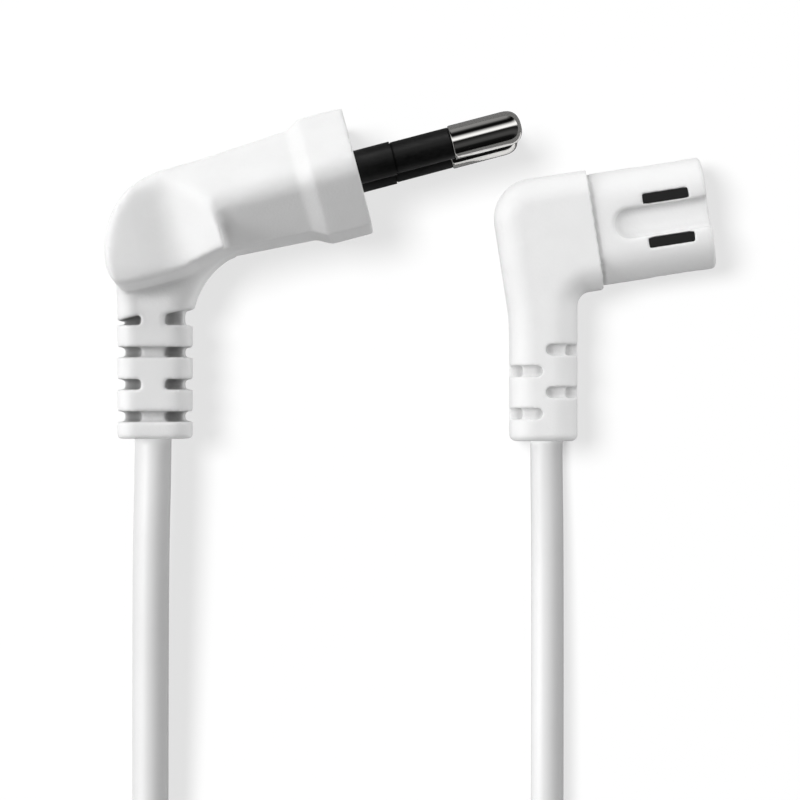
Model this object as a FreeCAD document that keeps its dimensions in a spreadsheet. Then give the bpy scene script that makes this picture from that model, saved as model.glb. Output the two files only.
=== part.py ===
import FreeCAD, Part
import math
import os
import re
import Sketcher

# A white moulded mains lead: an angled two-pin europlug, two metres of flat two-core cord
# and an angled figure-eight appliance connector. The origin is the middle of the plug's
# engagement face, +X runs out along the pins and +Z through both pins. The lead lies on the
# plane at half the face height below the origin, with the plug on its edge.

doc = FreeCAD.newDocument("europlug_lead")

# Driving dimensions, in millimetres and degrees
SIZES = [
    ("overrun", 1.0, "how far a cut or an inner end runs past the face that it meets"),
    ("face_width", 13.7, "engagement face, across the pins"),
    ("face_height", 35.3, "engagement face, along the line of the pins"),
    ("facet_angle", 40, "slope of the bevelled long edges"),
    ("ridge_radius", 2.5, "rounding of the ridge between two bevels"),
    ("collar_depth", 5.1, "straight collar behind the face"),
    ("band_depth", 1.75, "bevel from the collar down to the neck"),
    ("band_step", 0.95, "neck below the collar, all round"),
    ("neck_taper", 0.6, "further loss of the neck up to the grip"),
    ("neck_lap", 0.4, "neck let into the grip"),
    ("grip_start", 16.7, "face to the front of the grip"),
    ("plug_reach", 30.1, "face to the back of the grip"),
    ("grip_top", 5.3, "axis to the upper side of the grip"),
    ("grip_drop", 7.5, "axis to the lower side of the grip, at the mid plane"),
    ("grip_waist", 5.65, "axis to the lower side of the grip, at the face's height"),
    ("belly_place", 22.0, "face to where the lower side has come out fully"),
    ("belly_round", 5.0, "soft bend there"),
    ("back_radius", 9.6, "round back corner of the grip"),
    ("scoop_rim", 16.4, "mid plane to the rim of the finger scoop"),
    ("scoop_place", 22.0, "face to the deepest line of the scoop"),
    ("scoop_floor", 12.2, "mid plane to the deepest line of the scoop"),
    ("scoop_radius", 4.0, "rounding along the deepest line"),
    ("scoop_back", 13.0, "mid plane to the scoop's rear lip"),
    ("grip_round", 0.7, "rounded lip of the scoop"),
    ("lead_angle", 14.8, "cord's lean away from square to the pins"),
    ("relief_place", 26.55, "face to the strain relief's axis, at the grip's lower side"),
    ("relief_lap", 5.0, "strain relief let into the grip"),
    ("relief_length", 17.2, "strain relief below the grip"),
    ("relief_width", 8.5, "strain relief, across the flat cord"),
    ("relief_height", 10.4, "strain relief, along the flat cord's width"),
    ("relief_round", 2.3, "rounded edges of the strain relief"),
    ("throat_radius", 9.0, "hollow between the neck and the strain relief"),
    ("slot_first", 2.59, "last slot row to the end of the strain relief"),
    ("slot_pitch", 3.75, "slot row to slot row"),
    ("slot_gap", 1.2, "width of a slot"),
    ("web_width", 2.75, "middle web that the slots leave"),
    ("web_dip", 0.8, "lowered web of every second row"),
    ("core_width", 6.8, "inner core that the slots leave, across"),
    ("core_height", 5.0, "inner core that the slots leave, along the cord's width"),
    ("pin_spacing", 18.6, "pin to pin at the face"),
    ("pin_tilt", 1.6, "lean of each pin towards the other"),
    ("pin_length", 19.5, "face to the tip of a pin"),
    ("pin_radius", 2.0, "bare metal end of a pin"),
    ("shank_radius", 1.5, "pin inside its sleeve"),
    ("sleeve_radius", 1.84, "insulating sleeve on a pin"),
    ("sleeve_spigot", 1.2, "sleeve's thinner foot inside the boss"),
    ("sleeve_end", 11.2, "face to the front of the sleeve"),
    ("boss_radius", 1.98, "bridge boss at the foot of a pin"),
    ("boss_end", 4.25, "face to the front of the boss"),
    ("seat_play", 0.1, "play behind the shoulders of a leaning pin and its sleeve"),
    ("bridge_cover", 1.8, "moulding in front of the bridge"),
    ("bridge_depth", 5.6, "bridge along the pins"),
    ("bridge_width", 7.4, "bridge across the pins"),
    ("bridge_height", 25.0, "bridge along the line of the pins"),
    ("barrel_wall", 0.5, "end wall of a crimp barrel, before the strands"),
    ("barrel_radius", 1.75, "crimp barrel on a pin"),
    ("barrel_length", 5.0, "crimp barrel behind the bridge"),
    ("strand_radius", 0.5, "bundle of copper strands"),
    ("insulation_radius", 1.05, "insulated core"),
    ("cord_thickness", 3.8, "flat cord, across"),
    ("cord_width", 6.0, "flat cord, wide way"),
    ("core_spread", 1.25, "cord's middle to each core"),
    ("plug_sheath", 14.4, "cord's sheath inside the plug's strain relief"),
    ("nose_length", 13.7, "connector's nose, step to front"),
    ("nose_width", 13.5, "connector's nose, across the contacts"),
    ("nose_height", 8.2, "connector's nose, thickness"),
    ("nose_round", 0.5, "rounded front edge of the nose"),
    ("step_across", 0.5, "connector's body outside the nose, across"),
    ("step_over", 0.4, "connector's body outside the nose, in thickness"),
    ("shell_back", 11.9, "step to the back of the connector's body"),
    ("shell_corner", 4.75, "round outer corner of the connector's body"),
    ("shell_inner", 1.75, "hollow inner corner of the connector's body"),
    ("shell_bend", 25, "soft bend where the leg leaves the back"),
    ("shell_round", 3.2, "rounded edges of the connector's body and leg"),
    ("leg_lean", 8.8, "leg's lean away from square to the nose"),
    ("leg_place", 6.34, "step to the leg's axis, on the nose's axis"),
    ("leg_length", 24.48, "leg, from the nose's axis to its end"),
    ("leg_width", 8.15, "leg, across the flat cord"),
    ("notch_first", 3.3, "last notch to the end of the leg"),
    ("notch_pitch", 2.55, "notch to notch, on alternate sides"),
    ("notch_gap", 1.36, "width of a notch"),
    ("notch_depth", 3.9, "depth of a notch, from the leg's side"),
    ("notch_core", 5.1, "inner core that the notches leave"),
    ("notch_web", 1.6, "thin web that closes the notches at half height"),
    ("channel_width", 3.6, "channel along the nose's wide faces"),
    ("channel_depth", 1.3, "depth of that channel"),
    ("channel_start", 2.2, "step to the channel's round end"),
    ("channel_skin", 0.3, "moulding between that channel and the contact frame"),
    ("contact_spacing", 8.6, "contact to contact"),
    ("contact_bore", 1.22, "bore of a contact, radius"),
    ("contact_wall", 0.4, "wall of a contact"),
    ("contact_depth", 1.6, "nose's front to the contact's mouth"),
    ("contact_length", 10.0, "contact's round spring tube"),
    ("mouth_radius", 1.55, "entry hole in the nose's front"),
    ("crimp_radius", 1.0, "crimp barrel on a contact"),
    ("crimp_length", 4.0, "crimp barrel on a contact"),
    ("frame_wall", 1.2, "moulding over the contact frame's wide faces"),
    ("frame_skin", 0.45, "moulding round the contact frame's ends"),
    ("frame_back", 1.5, "contact frame behind the step"),
    ("window_length", 5.5, "window over the contact frame"),
    ("window_width", 1.2, "window over the contact frame"),
    ("window_place", 5.95, "step to the window"),
    ("window_spread", 2.66, "nose's axis to a window, at the nose's wide face"),
    ("window_dip", 0.12, "frame's rib below the nose's surface"),
    ("sheath_cover", 0.5, "moulding over the cord's sheath inside the leg"),
    ("leg_sheath", 11.0, "cord's sheath inside the connector's leg"),
    ("connector_ahead", 25.95, "connector's step, ahead of the plug's face"),
    ("connector_below", 13.28, "connector's step, below the plug's axis"),
    ("coil_radius", 42.2, "outermost turn's middle line"),
    ("coil_hole", 24.0, "innermost turn's middle line"),
    ("coil_layers", 2, "turns on each other"),
    ("tail_play", 0.3, "play of a tail where it comes in beside the coil"),
    ("tie_thickness", 0.6, "strap round the coil"),
    ("tie_angle", 14, "strap's width, seen from the coil's middle"),
]

sheet = doc.addObject("Spreadsheet::Sheet", "Sizes")
for row, (alias, number, meaning) in enumerate(SIZES, 1):
    sheet.set(f"A{row}", meaning)
    sheet.set(f"B{row}", str(number))
    sheet.setAlias(f"B{row}", alias)
doc.recompute()
ALIASES = {alias for alias, _, _ in SIZES}


def bound(formula):
    """The formula with each size's name pointed at its cell in the sheet."""
    return re.sub(r"[a-z_]+", lambda m: "Sizes." + m[0] if m[0] in ALIASES else m[0], formula)


def value(formula):
    """The formula's number with the sheet as it stands."""
    return float(sheet.evalExpression(formula))


def new_body(label):
    """An empty sub-part."""
    body = doc.addObject("PartDesign::Body", label)
    body.Label = label
    return body


def plane_of(body, role):
    """One of the body's own origin planes or axes."""
    return next(f for f in body.Origin.OriginFeatures if f.Role == role)


def sketch_on(body, name, role, lift="0", turn="0", shift=("0", "0")):
    """A sketch on an origin plane, lifted along its normal, then shifted and turned in it."""
    sketch = body.newObject("Sketcher::SketchObject", name)
    sketch.AttachmentSupport = [(plane_of(body, role), "")]
    sketch.MapMode = "FlatFace"
    sketch.AttachmentOffset = FreeCAD.Placement(
        FreeCAD.Vector(), FreeCAD.Rotation(FreeCAD.Vector(0, 0, 1), value(turn)))
    for axis, formula in zip("xyz", (*shift, lift)):
        sketch.setExpression("AttachmentOffset.Base." + axis, bound(formula))
    sketch.setExpression("AttachmentOffset.Rotation.Angle", bound(turn))
    return sketch


def fix_point(sketch, geometry, end, formulas):
    """Holds one point of the sketch at the place that two formulas give."""
    for kind, formula in zip(("DistanceX", "DistanceY"), formulas):
        place = Sketcher.Constraint(kind, -1, 1, geometry, end, value(formula))
        index = sketch.addConstraint(place)
        sketch.setExpression(f"Constraints[{index}]", bound(formula))


def outline(sketch, corners):
    """A closed outline of straight lines. A corner with a third formula is an arc of that radius."""
    spots = [FreeCAD.Vector(value(c[0]), value(c[1]), 0) for c in corners]
    count = len(corners)
    leave, arrive, arcs = list(spots), list(spots), {}
    for i, corner in enumerate(corners):
        if len(corner) < 3:
            continue
        back = (spots[i - 1] - spots[i]).normalize()
        ahead = (spots[(i + 1) % count] - spots[i]).normalize()
        half = back.getAngle(ahead) / 2
        radius = value(corner[2])
        arrive[i] = spots[i] + back * (radius / math.tan(half))
        leave[i] = spots[i] + ahead * (radius / math.tan(half))
        arcs[i] = spots[i] + (back + ahead).normalize() * (radius / math.sin(half))
    lines = [sketch.addGeometry(Part.LineSegment(leave[i], arrive[(i + 1) % count]))
             for i in range(count)]
    for i, corner in enumerate(corners):
        before, after = lines[i - 1], lines[i]
        if i not in arcs:
            sketch.addConstraint(Sketcher.Constraint("Coincident", before, 2, after, 1))
            fix_point(sketch, after, 1, corner)
            continue
        first, last = arrive[i] - arcs[i], leave[i] - arcs[i]
        anticlockwise = first.cross(last).z > 0
        low, high = (first, last) if anticlockwise else (last, first)
        circle = Part.Circle(arcs[i], FreeCAD.Vector(0, 0, 1), first.Length)
        start, stop = math.atan2(low.y, low.x), math.atan2(high.y, high.x)
        arc = sketch.addGeometry(Part.ArcOfCircle(circle, start, stop))
        near, far = (1, 2) if anticlockwise else (2, 1)
        sketch.addConstraint(Sketcher.Constraint("Tangent", before, 2, arc, near))
        sketch.addConstraint(Sketcher.Constraint("Tangent", after, 1, arc, far))
        index = sketch.addConstraint(Sketcher.Constraint("Radius", arc, first.Length))
        sketch.setExpression(f"Constraints[{index}]", bound(corner[2]))
        mark = sketch.addGeometry(Part.Point(spots[i]), True)
        fix_point(sketch, mark, 1, corner[:2])
        for line in (before, after):
            sketch.addConstraint(Sketcher.Constraint("PointOnObject", mark, 1, line))


def rectangle(sketch, left, right, low, high):
    """A plain rectangle between four formulas."""
    outline(sketch, [(left, low), (right, low), (right, high), (left, high)])


def circle(sketch, across, up, radius):
    """A full circle."""
    centre = FreeCAD.Vector(value(across), value(up), 0)
    ring = sketch.addGeometry(Part.Circle(centre, FreeCAD.Vector(0, 0, 1), value(radius)))
    fix_point(sketch, ring, 3, (across, up))
    index = sketch.addConstraint(Sketcher.Constraint("Radius", ring, value(radius)))
    sketch.setExpression(f"Constraints[{index}]", bound(radius))


def extrude(kind, body, sketch, length, both_ways=False, backwards=False):
    """A pad or pocket of the sketch. A pocket that takes nothing away is an error."""
    before = body.Shape.Volume if kind == "Pocket" else 0
    feature = body.newObject("PartDesign::" + kind, sketch.Name + "_" + kind.lower())
    feature.Profile = sketch
    feature.setExpression("Length", bound(length))
    feature.SideType = "Symmetric" if both_ways else "One side"
    feature.Reversed = backwards
    doc.recompute()
    if kind == "Pocket" and body.Shape.Volume > before - 1e-6:
        raise ValueError(sketch.Name + " cuts nothing")
    return feature


def turn_round(kind, body, sketch, role, angle="360"):
    """A revolution or groove of the sketch about an origin axis of its body."""
    feature = body.newObject("PartDesign::" + kind, sketch.Name + "_turned")
    feature.Profile = sketch
    feature.ReferenceAxis = (plane_of(body, role), [""])
    feature.setExpression("Angle", bound(angle))
    doc.recompute()
    return feature


def mirror(body, feature, role):
    """The feature again on the other side of an origin plane."""
    doc.recompute()
    copy = body.newObject("PartDesign::Mirrored", feature.Name + "_mirrored")
    copy.Originals = [feature]
    copy.MirrorPlane = (plane_of(body, role), [""])
    body.Tip = copy
    doc.recompute()


def round_edges(body, name, radius, chosen):
    """Fillets those edges of the body's last feature that the test picks by their middle point."""
    doc.recompute()
    base = body.Tip
    names = []
    for i, edge in enumerate(base.Shape.Edges, 1):
        middle = edge.valueAt((edge.FirstParameter + edge.LastParameter) / 2)
        if chosen(middle, edge):
            names.append(f"Edge{i}")
    fillet = body.newObject("PartDesign::Fillet", name)
    fillet.Base = (base, names)
    fillet.setExpression("Radius", bound(radius))
    doc.recompute()


def fuse(label, shapes):
    """Several objects grown into one."""
    result = doc.addObject("Part::MultiFuse", label)
    result.Label = label
    result.Shapes = shapes
    doc.recompute()
    return result


def cut(label, base, tools):
    """The base less each tool in turn. The last cut carries the label."""
    for tool in tools:
        result = doc.addObject("Part::Cut", f"{label}_less_{tool.Label}")
        result.Base = base
        result.Tool = tool
        doc.recompute()
        base = result
    base.Label = label
    return base


def place(thing, ahead="0", across="0", up="0", axis=(0, 0, 1), turn="0"):
    """Puts a sub-part at its place, turned about one axis."""
    thing.Placement = FreeCAD.Placement(
        FreeCAD.Vector(), FreeCAD.Rotation(FreeCAD.Vector(*axis), value(turn)))
    for letter, formula in zip("xyz", (ahead, across, up)):
        thing.setExpression("Placement.Base." + letter, bound(formula))
    thing.setExpression("Placement.Rotation.Angle", bound(turn))


def place_at(thing, point, turn):
    """Puts a sub-part at a point that was worked out, turned about the upright."""
    thing.Placement = FreeCAD.Placement(point, FreeCAD.Rotation(FreeCAD.Vector(0, 0, 1), value(turn)))


# Cords: the path is straight runs joined by tangent arcs, and a section is carried along it

def smooth_path(points, report=None):
    """Runs between the points with an arc at each inner one, reaching 0.45 of its shorter run."""
    edges, start, radii = [], points[0], []
    for before, corner, after in zip(points, points[1:], points[2:]):
        back, ahead = before - corner, after - corner
        reach = 0.45 * min(back.Length, ahead.Length)
        back.normalize()
        ahead.normalize()
        half_turn = (math.pi - back.getAngle(ahead)) / 2
        radius = reach / math.tan(half_turn)
        centre = corner + (back + ahead).normalize() * math.hypot(reach, radius)
        first, last = corner + back * reach, corner + ahead * reach
        middle = centre + (corner - centre).normalize() * radius
        edges.append(Part.LineSegment(start, first).toShape())
        edges.append(Part.Arc(first, middle, last).toShape())
        radii.append(round(radius, 1))
        start = last
    edges.append(Part.LineSegment(start, points[-1]).toShape())
    if report:
        print(report, "arc radii", radii, "length", round(sum(e.Length for e in edges), 1))
    return Part.Wire(edges)


def flat_section(at, along, thickness, width):
    """The flat cord's section: straight sides that stand upright and two round ends."""
    side = along.cross(FreeCAD.Vector(0, 0, 1)).normalize()
    up = side.cross(along).normalize()
    out, straight = side * (thickness / 2), up * (width / 2 - thickness / 2)
    top, foot = at + straight, at - straight
    return Part.Wire([
        Part.LineSegment(foot + out, top + out).toShape(),
        Part.Arc(top + out, at + up * (width / 2), top - out).toShape(),
        Part.LineSegment(top - out, foot - out).toShape(),
        Part.Arc(foot - out, at - up * (width / 2), foot + out).toShape()])


def carry(path, section):
    """A closed solid of the section carried along the path without twist."""
    sweep = Part.BRepOffsetAPI.MakePipeShell(path)
    sweep.setBiNormalMode(FreeCAD.Vector(0, 0, 1))
    sweep.add(section)
    sweep.build()
    sweep.makeSolid()
    return sweep.shape()


def round_wire(path, radius):
    """A round wire along the path."""
    at = path.Edges[0].valueAt(path.Edges[0].FirstParameter)
    along = path.Edges[0].tangentAt(path.Edges[0].FirstParameter)
    ring = Part.Wire([Part.Circle(at, along, radius).toShape()])
    return path.makePipeShell([ring], True, True)


def made(label, shape):
    """A document object for a shape that was worked out above."""
    thing = doc.addObject("Part::Feature", label)
    thing.Label = label
    thing.Shape = shape
    return thing


# Europlug: the moulding's outer form

def ridge(loss):
    """Height where the two bevels would meet, above a section's rounded ridge."""
    return f"(face_height / 2 - {loss} + ridge_radius * (1 / cos(facet_angle) - 1))"


def hexagon(body, name, lift, loss):
    """A section of the collar or neck: flat sides, bevels and two rounded ridges."""
    sketch = sketch_on(body, name, "YZ_Plane", lift)
    wide = f"(face_width / 2 - {loss})"
    apex = ridge(loss)
    flat = f"({apex} - {wide} * tan(facet_angle))"
    outline(sketch, [
        (wide, "-" + flat), (wide, flat), ("0", apex, "ridge_radius"),
        ("-" + wide, flat), ("-" + wide, "-" + flat), ("0", "-" + apex, "ridge_radius")])
    return sketch


def ruled_loft(body, name, sections):
    """Straight walls from section to section."""
    loft = body.newObject("PartDesign::AdditiveLoft", name)
    loft.Profile = sections[0]
    loft.Sections = sections[1:]
    loft.Ruled = True
    doc.recompute()
    return loft


# The grip's lower side slopes: it leaves the neck's side and is fullest at the mid plane
NECK_LOSS = "(band_step + neck_taper)"
grip_block = new_body("grip_block")
grip_sections = []
for name, lift, low in (("grip_middle", "0", "-grip_drop"),
                        ("grip_outside", "face_height / 2", "-grip_waist")):
    section = sketch_on(grip_block, name, "XY_Plane", lift)
    outline(section, [
        ("-grip_start", f"-(face_width / 2 - {NECK_LOSS})"), ("-grip_start", "grip_top"),
        ("-plug_reach", "grip_top", "back_radius"), ("-plug_reach", low, "grip_round * 1.5"),
        ("-belly_place", low, "belly_round")])
    grip_sections.append(section)
mirror(grip_block, ruled_loft(grip_block, "grip_half", grip_sections), "XY_Plane")
scoop = sketch_on(grip_block, "scoop_profile", "XZ_Plane")
outline(scoop, [
    ("-grip_start + overrun", "scoop_rim"),
    ("-grip_start + overrun", "face_height"), ("-plug_reach - overrun", "face_height"),
    ("-plug_reach - overrun",
     "scoop_back + overrun * (scoop_back - scoop_floor) / (plug_reach - scoop_place)"),
    ("-scoop_place", "scoop_floor", "scoop_radius"),
    ("-grip_start - neck_lap", "scoop_rim", "grip_round")])
scooped = extrude("Pocket", grip_block, scoop, "face_width * 3", both_ways=True)
mirror(grip_block, scooped, "XY_Plane")
# On the upper side the neck's bevel runs on into the grip
bevel = sketch_on(grip_block, "bevel_run_on", "YZ_Plane", "-grip_start + overrun")
bevel_side = "(grip_top + overrun)"
outline(bevel, [
    ("0", ridge(NECK_LOSS)), (bevel_side, f"{ridge(NECK_LOSS)} - {bevel_side} * tan(facet_angle)"),
    (bevel_side, "face_height"), ("0", "face_height")])
mirror(grip_block, extrude("Pocket", grip_block, bevel, "plug_reach"), "XY_Plane")

neck_block = new_body("neck_block")
neck_sections = [
    hexagon(neck_block, "face_section", "0", "0"),
    hexagon(neck_block, "collar_section", "-collar_depth", "0"),
    hexagon(neck_block, "neck_section", "-collar_depth - band_depth", "band_step"),
    hexagon(neck_block, "neck_end_section", "-grip_start - neck_lap", NECK_LOSS)]
ruled_loft(neck_block, "collar_and_neck", neck_sections)

# The strain relief is drawn upright on the cord's axis, below the point where it leaves the grip
RELIEF = {"turn": "-lead_angle", "shift": ("-relief_place", "-grip_drop")}
relief_block = new_body("relief_block")
relief = sketch_on(relief_block, "relief_outline", "XY_Plane", **RELIEF)
neck_side = "(grip_drop - face_width / 2 + band_step + neck_taper / 2)"
throat_run = f"(relief_width / 2 + {neck_side} * sin(lead_angle)) / cos(lead_angle)"
throat_end = "(relief_place - grip_start + throat_radius * 0.4)"
outline(relief, [
    ("-relief_width / 2", "relief_lap"), ("-relief_width / 2", "-relief_length"),
    ("relief_width / 2", "-relief_length"),
    ("relief_width / 2", f"{throat_run} * sin(lead_angle) + {neck_side} * cos(lead_angle)",
     "throat_radius"),
    (f"{throat_end} * cos(lead_angle) - {neck_side} * sin(lead_angle)",
     f"{throat_end} * sin(lead_angle) + {neck_side} * cos(lead_angle)"),
    (f"{throat_end} * cos(lead_angle)", f"{throat_end} * sin(lead_angle) + relief_lap + overrun")])
extrude("Pad", relief_block, relief, "relief_height", both_ways=True)


def in_relief(at):
    """The point's place across and along the strain relief's axis."""
    lean = math.radians(value("lead_angle"))
    dx, dy = at.x + value("relief_place"), at.y + value("grip_drop")
    return (dx * math.cos(lean) - dy * math.sin(lean), dx * math.sin(lean) + dy * math.cos(lean))


round_edges(relief_block, "relief_rounding", "relief_round", lambda at, edge: (
    abs(abs(at.z) - value("relief_height") / 2) < 1e-3
    and (in_relief(at)[0] < 0.1 - value("relief_width") / 2
         or at.y < 0.1 - value("face_width / 2 - band_step - neck_taper / 2"))
    and in_relief(at)[1] > 1e-3 - value("relief_length")))
round_edges(relief_block, "relief_end_rounding", "grip_round / 1.5", lambda at, edge: (
    abs(in_relief(at)[1] + value("relief_length")) < 1e-3))

slots = sketch_on(relief_block, "slot_rows", "XY_Plane", **RELIEF)
dips = sketch_on(relief_block, "lowered_webs", "XY_Plane", lift="relief_height / 2", **RELIEF)
SLOT_ROWS = 4
for row in range(SLOT_ROWS):
    middle = f"(slot_first + {row} * slot_pitch - relief_length)"
    span = (f"{middle} - slot_gap / 2", f"{middle} + slot_gap / 2")
    # The row next to the grip ends square to the pins, not to the cord
    slant = "tan(lead_angle)" if row == SLOT_ROWS - 1 else "0"
    for side, end in (("", "relief_width"), ("-", "(relief_width / 2 + slot_gap / 4)")):
        outline(slots, [
            (f"{side}web_width / 2", span[0]), (f"{side}{end}", span[0]),
            (f"{side}{end}", f"{span[1]} + {side}({end} - web_width / 2) * {slant}"),
            (f"{side}web_width / 2", span[1])])
    if row % 2 == 0:
        rectangle(dips, "-relief_width / 2", "relief_width / 2", *span)
extrude("Pocket", relief_block, slots, "relief_height * 2", both_ways=True)
dipped = extrude("Pocket", relief_block, dips, "web_dip")
mirror(relief_block, dipped, "XY_Plane")
inner = sketch_on(relief_block, "relief_core", "XY_Plane", **RELIEF)
rectangle(inner, "-core_width / 2", "core_width / 2",
          "slot_first / 2 - relief_length",
          f"slot_first + {SLOT_ROWS - 0.5} * slot_pitch - relief_length")
extrude("Pad", relief_block, inner, "core_height", both_ways=True)
plug_moulding = fuse("plug_moulding", [grip_block, neck_block, relief_block])

# Europlug: pins, sleeves and bridge

def turned(label, corners):
    """A sub-part turned about the X axis from half its section."""
    body = new_body(label)
    outline(sketch_on(body, label + "_half", "XY_Plane"), corners)
    turn_round("Revolution", body, body.Group[-1], "X_Axis")
    return body


bridge_front, bridge_rear = "-bridge_cover", "-(bridge_cover + bridge_depth)"
barrel_rear = "-(bridge_cover + bridge_depth + barrel_length)"
bridge_bar = new_body("bridge_bar")
bar = sketch_on(bridge_bar, "bar_outline", "YZ_Plane", bridge_front)
outline(bar, [(f"{sy}bridge_width / 2", f"{sz}bridge_height / 2", "bridge_width / 3")
              for sy, sz in (("", "-"), ("", ""), ("-", ""), ("-", "-"))])
extrude("Pad", bridge_bar, bar, "bridge_depth", backwards=True)

POLES = {"live": "", "neutral": "-"}
pins, bosses, sleeves, pin_rooms, barrel_rooms = {}, {}, {}, {}, {}
strand_stop = f"({bridge_rear} - barrel_wall)"
spigot_start, spigot_radius = "(boss_end - sleeve_spigot)", "((shank_radius + sleeve_radius) / 2)"
for pole, sign in POLES.items():
    foot = {"up": f"{sign}pin_spacing / 2"}
    lean_in = {"axis": (0, 1, 0), "turn": f"{sign}pin_tilt"}
    pins[pole] = turned("pin_" + pole, [
        (barrel_rear, "strand_radius"), (barrel_rear, "barrel_radius"),
        (bridge_rear, "barrel_radius"), (bridge_rear, "shank_radius"),
        ("sleeve_end", "shank_radius"), ("sleeve_end", "pin_radius"),
        ("pin_length", "pin_radius", "pin_radius * 0.96"), ("pin_length", "0"),
        (strand_stop, "0"), (strand_stop, "strand_radius")])
    sleeves[pole] = turned("pin_sleeve_" + pole, [
        (spigot_start, "shank_radius"), ("sleeve_end", "shank_radius"),
        ("sleeve_end", "sleeve_radius"), ("boss_end + seat_play", "sleeve_radius"),
        ("boss_end + seat_play", spigot_radius), (spigot_start, spigot_radius)])
    # Solid rooms for the pin in the bridge and for its barrel in the moulding
    pin_rooms[pole] = turned("pin_room_" + pole, [
        (f"{bridge_rear} - overrun", "0"), ("sleeve_end", "0"), ("sleeve_end", spigot_radius),
        (spigot_start, spigot_radius), (spigot_start, "shank_radius"),
        (f"{bridge_rear} + seat_play", "shank_radius"), (f"{bridge_rear} + seat_play", "barrel_radius"),
        (f"{bridge_rear} - overrun", "barrel_radius")])
    barrel_rooms[pole] = turned("barrel_room_" + pole, [
        (barrel_rear, "0"), (f"{bridge_rear} + overrun", "0"),
        (f"{bridge_rear} + overrun", "barrel_radius"), (barrel_rear, "barrel_radius")])
    for piece in (pins[pole], sleeves[pole], pin_rooms[pole], barrel_rooms[pole]):
        place(piece, **foot, **lean_in)
    # The boss stands straight, so that the moulding's face closes round it
    bosses[pole] = turned("boss_" + pole, [
        (f"{bridge_front} - overrun", "0"), ("boss_end", "0"),
        ("boss_end", "boss_radius"), (f"{bridge_front} - overrun", "boss_radius")])
    place(bosses[pole], **foot)
bridge_with_bosses = fuse("bridge_with_bosses", [bridge_bar, *bosses.values()])
pin_bridge = cut("pin_bridge", bridge_with_bosses, pin_rooms.values())

# The cord's route: across the lead, along it towards the plug, and height above the floor,
# turned to the row's frame by the cord's lean. The points are chosen by hand.
floor = -value("face_height") / 2
half_cord = value("cord_width") / 2
lean = math.radians(value("lead_angle"))


def lead_point(across, along, height):
    """A point of the lead's own layout, in the part's frame."""
    return FreeCAD.Vector(across * math.cos(lean) + along * math.sin(lean),
                          along * math.cos(lean) - across * math.sin(lean), floor + height)


relief_foot = in_relief(FreeCAD.Vector())
plug_across = -relief_foot[0]
plug_end = -relief_foot[1] - value("relief_length")
plug_height = -floor
# The connector's leg ends here, on the same layout
leg_turn = math.radians(value("leg_lean") - value("lead_angle"))
leg_slope = math.radians(value("leg_lean"))
connector_height = value("nose_height / 2 + step_over")


def connector_point(ahead, across, up=0.0):
    """A point of the connector's own frame, in the part's frame."""
    return FreeCAD.Vector(
        value("connector_ahead") + ahead * math.cos(leg_turn) - across * math.sin(leg_turn),
        -value("connector_below") + ahead * math.sin(leg_turn) + across * math.cos(leg_turn),
        floor + connector_height + up)


def on_leg(distance, up=0.0):
    """A point on the leg's axis, that far from the nose's axis."""
    return connector_point(-value("leg_place") - distance * math.sin(leg_slope),
                           -distance * math.cos(leg_slope), up)


leg_end = on_leg(value("leg_length"))
leg_across = leg_end.x * math.cos(lean) - leg_end.y * math.sin(lean)
leg_along = leg_end.x * math.sin(lean) + leg_end.y * math.cos(lean)

# Coil: both tails run on from the outermost turn along its tangent
TAIL_SWING = math.radians(30)
tie = value("tie_thickness")
coil_across = (plug_across + leg_across) / 2
COIL_ALONG = -131.5
reach_out = value("coil_radius") * math.cos(TAIL_SWING)
tail_along = COIL_ALONG + value("coil_radius") * math.sin(TAIL_SWING)
layer_height = [tie + half_cord, tie + value("cord_width") * (value("coil_layers") - 0.5)]

plug_route = [
    lead_point(plug_across, plug_end + value("plug_sheath"), plug_height),
    lead_point(plug_across, -41, plug_height),
    lead_point(plug_across, -63, 10.2),
    lead_point(plug_across, -86.8, 4.6),
    lead_point(coil_across - reach_out, tail_along, layer_height[0])]
connector_route = [
    lead_point(leg_across, leg_along + value("leg_sheath"), connector_height),
    lead_point(leg_across, -43, connector_height),
    lead_point(leg_across, -63, 3.4),
    lead_point(leg_across, -86.8, 5.4),
    lead_point(coil_across + reach_out, tail_along, layer_height[1])]


def flat_cord(label, route):
    """A plain stretch of the flat cord along its route, checked against section times length."""
    path = smooth_path(route, label)
    thickness, width = value("cord_thickness"), value("cord_width")
    solid = carry(path, flat_section(route[0], route[1] - route[0], thickness, width))
    area = math.pi * thickness ** 2 / 4 + thickness * (width - thickness)
    print(label, "volume over section times length", round(solid.Volume / (area * path.Length), 4))
    return made(label, solid)


cord_plug_run = flat_cord("cord_plug_run", plug_route)
cord_connector_run = flat_cord("cord_connector_run", connector_route)

coil_ring = new_body("coil_ring")
ring = sketch_on(coil_ring, "ring_section", "XZ_Plane")
ring_inside, ring_outside = "(coil_hole - cord_thickness / 2)", "(coil_radius + cord_thickness / 2)"
ring_foot, ring_top = "tie_thickness", "(tie_thickness + coil_layers * cord_width)"
ring_corners = [
    (ring_inside, ring_foot, "cord_thickness / 2"), (ring_outside, ring_foot, "cord_thickness / 2"),
    (ring_outside, ring_top, "cord_thickness / 2"), (ring_inside, ring_top, "cord_thickness / 2")]
outline(ring, ring_corners)
turn_round("Revolution", coil_ring, ring, "Z_Axis")
strap = new_body("coil_tie")
band = sketch_on(strap, "strap_section", "XZ_Plane")
outline(band, ring_corners)
outer_round = "cord_thickness / 2 + tie_thickness"
outline(band, [
    (f"{ring_inside} - tie_thickness", "0", outer_round),
    (f"{ring_outside} + tie_thickness", "0", outer_round),
    (f"{ring_outside} + tie_thickness", f"{ring_top} + tie_thickness", outer_round),
    (f"{ring_inside} - tie_thickness", f"{ring_top} + tie_thickness", outer_round)])
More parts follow.
